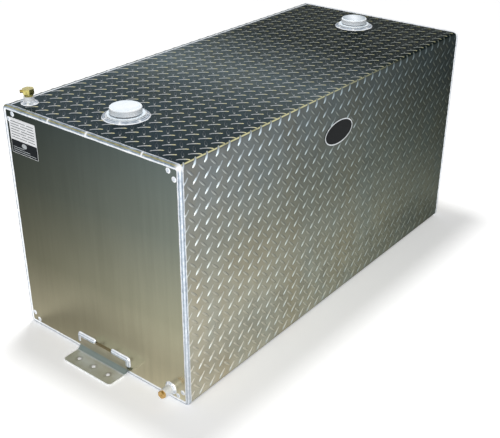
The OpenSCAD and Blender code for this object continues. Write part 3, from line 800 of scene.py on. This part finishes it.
def ring_bead(name, centre, axis, u, w, radius, width, height, node, step=0.0006):
    """Fillet bead round a pipe of the given radius, on a flat whose outward normal is axis."""
    n = max(48, round(2 * math.pi * (radius + width) / step))
    a = np.linspace(0, 2 * math.pi, n, endpoint=False)
    u, w, axis, centre = (np.asarray(k, float) for k in (u, w, axis, centre))
    across = np.cos(a)[:, None] * u + np.sin(a)[:, None] * w
    chord = math.hypot(width, height)
    back = math.sqrt(chord ** 2 * 0.75)
    c = (radius + width / 2 - back * height / chord, height / 2 - back * width / chord)
    a0 = math.degrees(math.atan2(height - c[1], radius - c[0]))
    a1 = math.degrees(math.atan2(0 - c[1], radius + width - c[0]))
    section = arc(c, chord, a0, a1, 8)
    # the ripples are counted along the toe, so the path is given there and the section moved back
    pts = centre[None] + across * (radius + width)
    section = section - np.array([radius + width, 0.0])
    # seven painted glints spaced evenly round the ring
    bead(name, pts, across, np.tile(axis, (n, 1)), section, (c[0] - radius - width, c[1]), True, node,
         ripple=0.0004, wobble=0.0004, glint_spots=[(k * math.pi * (radius + width) / 3.5 + 0.004, 0.003) for k in range(7)])


def bracket_beads(side):
    sign = -1 if side == "left" else 1
    low, run = BR_BEND + BR_T, (BR_W - BR_BARE) / 2
    a_toe = math.degrees(math.asin(BR_SINK / BR_BEAD))
    a_end = 180 - math.degrees(math.asin((BR_T + BR_SINK) / BR_BEAD))
    section = arc((BR_OUT, -BR_SINK), BR_BEAD, a_toe, a_end, 9)
    for a, where in ((-1, "front"), (1, "back")):
        y = a * BR_W / 2
        up = line((0, y, low), (0, y, BR_H), 0.0007)
        t = np.linspace(0, math.pi / 2, 14)[1:-1]
        flat = line((0, y, BR_H), (0, y - a * run, BR_H), 0.0007)
        pts = np.concatenate([up, np.tile([0, y, BR_H], (len(t), 1)), flat])
        across = np.concatenate([np.tile([0, a, 0], (len(up), 1)),
                                 np.stack([np.zeros(len(t)), a * np.cos(t), np.sin(t)], 1),
                                 np.tile([0, 0, 1.0], (len(flat), 1))])
        pts[:, 0] = sign * L / 2
        n = len(pts)
        # the first half of the arc lies on the plate, the rest goes over the leg's edge
        bead(side + "_bracket_bead_" + where, pts, across, np.tile([sign, 0.0, 0.0], (n, 1)),
             section, (BR_OUT, -BR_SINK), False, side + "_bracket_welds", ripple=0.0002, cap=0.007)


def plug_welds():
    """Two dished domes near each corner of both end plates."""
    dome = (PLUG_R ** 2 + BEAD_RISE ** 2) / (2 * BEAD_RISE)
    dish = (PLUG_DISH_R ** 2 + PLUG_DISH_D ** 2) / (2 * PLUG_DISH_D)
    radii = np.linspace(0.0, 1.0, 12) * PLUG_R
    turns = np.linspace(0, 2 * math.pi, 44, endpoint=False)
    for side, sign in (("left", -1), ("right", 1)):
        for up_name, up in (("upper", 1), ("lower", -1)):
            for where, across in (("front", -1), ("back", 1)):
                verts, faces, tone = [], [], []
                for far, near in ((PLUG_FAR, PLUG_NEAR), (PLUG_NEAR, PLUG_FAR)):
                    base = len(verts)
                    cy, cz = across * (W / 2 - far), H / 2 + up * (H / 2 - near)
                    for r in radii:
                        for k, a in enumerate(turns):
                            h = BEAD_RISE - dome + math.sqrt(dome ** 2 - r ** 2)
                            if r < PLUG_DISH_R:
                                h = min(h, BEAD_RISE - PLUG_DISH_D + dish - math.sqrt(dish ** 2 - r ** 2))
                            h -= 0.00012 * (1 + math.sin(5 * a + r * 2600)) * min(1.0, h / 0.0005)
                            verts.append((sign * (L / 2 + max(h, -0.0001)), cy + r * math.cos(a), cz + r * math.sin(a)))
                            # bead_v rises from the dish to the rim, so the weld material paints a bright rim as painted
                            # highlight and a dark band inside it as painted shade
                            tone.append(0.05 + 0.95 * float(smooth_step((r - 0.0024) / 0.0016)))
                    n = len(turns)
                    for i in range(len(radii) - 1):
                        for k in range(n):
                            faces.append((base + i * n + k, base + (i + 1) * n + k,
                                          base + (i + 1) * n + (k + 1) % n, base + i * n + (k + 1) % n))
                name = "%s_%s_%s_plug_" % (side, up_name, where)
                o = add_mesh(name + "domes", verts, faces, WELD, "tank",
                             {"bead_v": tone, "bead_glint": np.zeros(len(tone)), "bead_straw": np.zeros(len(tone))})
                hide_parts(name + "welds")


end_beads()
seam_bead()
plug_welds()
UP = ((0, 0, 1), (1, 0, 0), (0, 1, 0))
ring_bead("left_neck_bead", (LEFT_FILL, 0, H), *UP, NECK_R, NECK_WELD_W, NECK_WELD_H, "left_neck_weld")
ring_bead("right_neck_bead", (RIGHT_FILL, 0, H), *UP, NECK_R, NECK_WELD_W, NECK_WELD_H, "right_neck_weld")
ring_bead("vent_coupling_bead", (VENT_X, VENT_Y, H), *UP, VENT_CR, VENT_WELD_W, COUPLING_WELD_H,
          "vent_coupling_weld", 0.0005)
ring_bead("drain_coupling_bead", (-L / 2, DRAIN_Y, DRAIN_Z), (-1, 0, 0), (0, -1, 0), (0, 0, 1),
          DRAIN_CR, DRAIN_WELD_W, COUPLING_WELD_H, "drain_coupling_weld", 0.0005)
bracket_beads("left")
bracket_beads("right")


# ---------------------------------------------------------------- label and plaque
def slab(name, outline, lift, thick, place, mat, bevel=0.0):
    """Thin piece with the given outline in its own plane: place(u, v, h) gives the point."""
    n = len(outline)
    verts = [place(u, v, lift) for u, v in outline]
    verts += [place(u, v, lift + thick) for u, v in outline]
    faces = [tuple(range(n, 2 * n)), tuple(reversed(range(n)))]
    faces += [(i, (i + 1) % n, n + (i + 1) % n, n + i) for i in range(n)]
    if bevel:
        cu = sum(u for u, _ in outline) / n
        cv = sum(v for _, v in outline) / n
        verts += [place(cu + (u - cu) * (1 - bevel), cv + (v - cv) * (1 - bevel), lift + thick * 1.35)
                  for u, v in outline]
        faces = [tuple(range(2 * n, 3 * n))] + faces[1:]
        faces += [(n + i, n + (i + 1) % n, 2 * n + (i + 1) % n, 2 * n + i) for i in range(n)]
    return add_mesh(name, verts, faces, mat, "tank", smooth=False)


def rounded(u0, v0, u1, v1, r, steps=5):
    pts = []
    for cu, cv, a0 in ((u1 - r, v1 - r, 0), (u0 + r, v1 - r, 90), (u0 + r, v0 + r, 180), (u1 - r, v0 + r, 270)):
        for i in range(steps + 1):
            a = math.radians(a0 + 90 * i / steps)
            pts.append((cu + r * math.cos(a), cv + r * math.sin(a)))
    return pts


def on_left_end(u, v, h):
    """u runs to the right as seen from outside the left end, from the plate's middle; v is height."""
    return (-L / 2 - h, -u, v)


def on_front(u, v, h):
    return (u, -W / 2 - h, v)


def label():
    u0, u1, v0, v1 = -0.262, -0.168, 0.494, 0.583
    slab("label_backing", rounded(u0, v0, u1, v1, 0.002), 0.0, 0.0002, on_left_end, PAPER)
    split = v0 + 0.034
    slab("label_dark_field", rounded(u0 + 0.001, v0 + 0.001, u1 - 0.001, split, 0.001), 0.0002, 0.0001,
         on_left_end, INK)
    k = 0
    for row in range(7):
        v = split + 0.006 + row * 0.0066
        for a, b in (((0.05, 0.38), (0.44, 0.93)) if row % 2 else ((0.05, 0.62), (0.68, 0.93))):
            ua, ub = u0 + (u1 - u0) * a, u0 + (u1 - u0) * b
            slab("label_rule_%d" % k, rounded(ua, v, ub, v + 0.0016, 0.0004, 2), 0.0002, 0.0001,
                 on_left_end, RULE)
            k += 1
    for row in range(3):
        v = v0 + 0.005 + row * 0.0052
        slab("label_pale_rule_%d" % row, rounded(u0 + 0.006, v, u1 - 0.008 - 0.02 * row, v + 0.0014, 0.0004, 2),
             0.0003, 0.0001, on_left_end, PALE_RULE)
    slab("label_pale_disc", [((u0 + u1) / 2 + 0.009 * math.cos(a), split - 0.0095 + 0.006 * math.sin(a))
                             for a in np.linspace(0, 2 * math.pi, 28, endpoint=False)],
         0.0003, 0.0001, on_left_end, PALE_RULE)


def plaque():
    turn = np.linspace(0, 2 * math.pi, 72, endpoint=False)
    rim = [(OVAL["x"] + OVAL["a"] * math.cos(t), OVAL["z"] + OVAL["b"] * math.sin(t)) for t in turn]
    face = [(OVAL["x"] + (OVAL["a"] - 0.003) * math.cos(t), OVAL["z"] + (OVAL["b"] - 0.003) * math.sin(t)) for t in turn]
    # it lies on the crowns of the lugs
    slab("blank_plaque_rim", rim, 0.0012, 0.0002, on_front, PLAQUE_RIM, 0.02)
    slab("blank_plaque_face", face, 0.00142, 0.0001, on_front, PLAQUE, 0.02)


label()
plaque()

# ---------------------------------------------------------------- stage, light and camera
floor_mesh = bpy.data.meshes.new("floor")
floor_mesh.from_pydata([(-30, -30, 0), (30, -30, 0), (30, 30, 0), (-30, 30, 0)], [], [(0, 1, 2, 3)])
floor = bpy.data.objects.new("floor", floor_mesh)
bpy.context.scene.collection.objects.link(floor)
fs = Shader("floor_pale", 0.0, 0.9)
fs.bsdf.inputs["Base Color"].default_value = (0.93, 0.93, 0.93, 1)
fs.bsdf.inputs["Emission Color"].default_value = (1, 1, 1, 1)
seen = fs.node("ShaderNodeLightPath")
seen_by = fs.math("MAXIMUM", fs.math("MAXIMUM", seen.outputs["Is Camera Ray"], seen.outputs["Is Glossy Ray"]),
                  seen.outputs["Is Transmission Ray"])
# the floor is brighter far out, where the lamps no longer reach, so that it stays pale up to the horizon
_, (floor_x, floor_y, _) = fs.coord()
floor_r = fs.math("SQRT", fs.math("ADD", fs.math("MULTIPLY", floor_x, floor_x), fs.math("MULTIPLY", floor_y, floor_y)))
glow = fs.math("ADD", 0.30, fs.math("MULTIPLY", fs.span(floor_r, 1.2, 6.0), 0.42))
fs.link(fs.math("MULTIPLY", seen_by, glow), fs.bsdf.inputs["Emission Strength"])
floor_mesh.materials.append(fs.mat)

world = bpy.data.worlds.new("studio")
bpy.context.scene.world = world
world.use_nodes = True
wt = world.node_tree
bg = wt.nodes["Background"]
path = wt.nodes.new("ShaderNodeLightPath")
top = wt.nodes.new("ShaderNodeMath")
top.operation = "MAXIMUM"
wt.links.new(path.outputs["Is Camera Ray"], top.inputs[0])
wt.links.new(path.outputs["Is Glossy Ray"], top.inputs[1])
top2 = wt.nodes.new("ShaderNodeMath")
top2.operation = "MAXIMUM"
wt.links.new(top.outputs[0], top2.inputs[0])
wt.links.new(path.outputs["Is Transmission Ray"], top2.inputs[1])
level = wt.nodes.new("ShaderNodeMapRange")
wt.links.new(top2.outputs[0], level.inputs[0])
level.inputs[3].default_value = 0.30
level.inputs[4].default_value = 1.0
wt.links.new(level.outputs[0], bg.inputs["Strength"])
bg.inputs["Color"].default_value = (1, 1, 1, 1)


def lamp(name, at, aim, size, power, spread=180):
    data = bpy.data.lights.new(name, "AREA")
    data.shape = "DISK"
    data.size = size
    data.energy = power
    data.spread = math.radians(spread)
    o = bpy.data.objects.new(name, data)
    o.location = at
    o.rotation_euler = (Vector(aim) - Vector(at)).to_track_quat("-Z", "Y").to_euler()
    bpy.context.scene.collection.objects.link(o)
    return o


key = lamp("key", (0.15, 0.50, 3.8), (0, 0, 0.3), 0.7, 90)
# the metal mirrors the white surroundings, not a lamp right above it
key.visible_glossy = False
lamp("front_fill", (-3.0, -2.4, 1.8), (0, 0, 0.3), 1.8, 56)

CAMERA_AT = Vector((-1.72700, -1.33398, 1.31562))
CAMERA_AIM = Vector((-0.34165, -0.24526, 0.36933))
CAMERA_ROLL = math.radians(0.278)
cam_data = bpy.data.cameras.new("camera")
cam_data.sensor_width = 36.0
cam_data.lens = 61.476
cam_data.clip_start, cam_data.clip_end = 0.05, 200.0
cam = bpy.data.objects.new("camera", cam_data)
bpy.context.scene.collection.objects.link(cam)
ahead = (CAMERA_AIM - CAMERA_AT).normalized()
right = ahead.cross(Vector((0, 0, 1))).normalized()
over = right.cross(ahead)
turn = Matrix((right, over, -ahead)).transposed() @ Matrix.Rotation(CAMERA_ROLL, 3, "Z")
cam.matrix_world = Matrix.Translation(CAMERA_AT) @ turn.to_4x4()
bpy.context.scene.camera = cam
bpy.context.scene.view_settings.view_transform = "Standard"
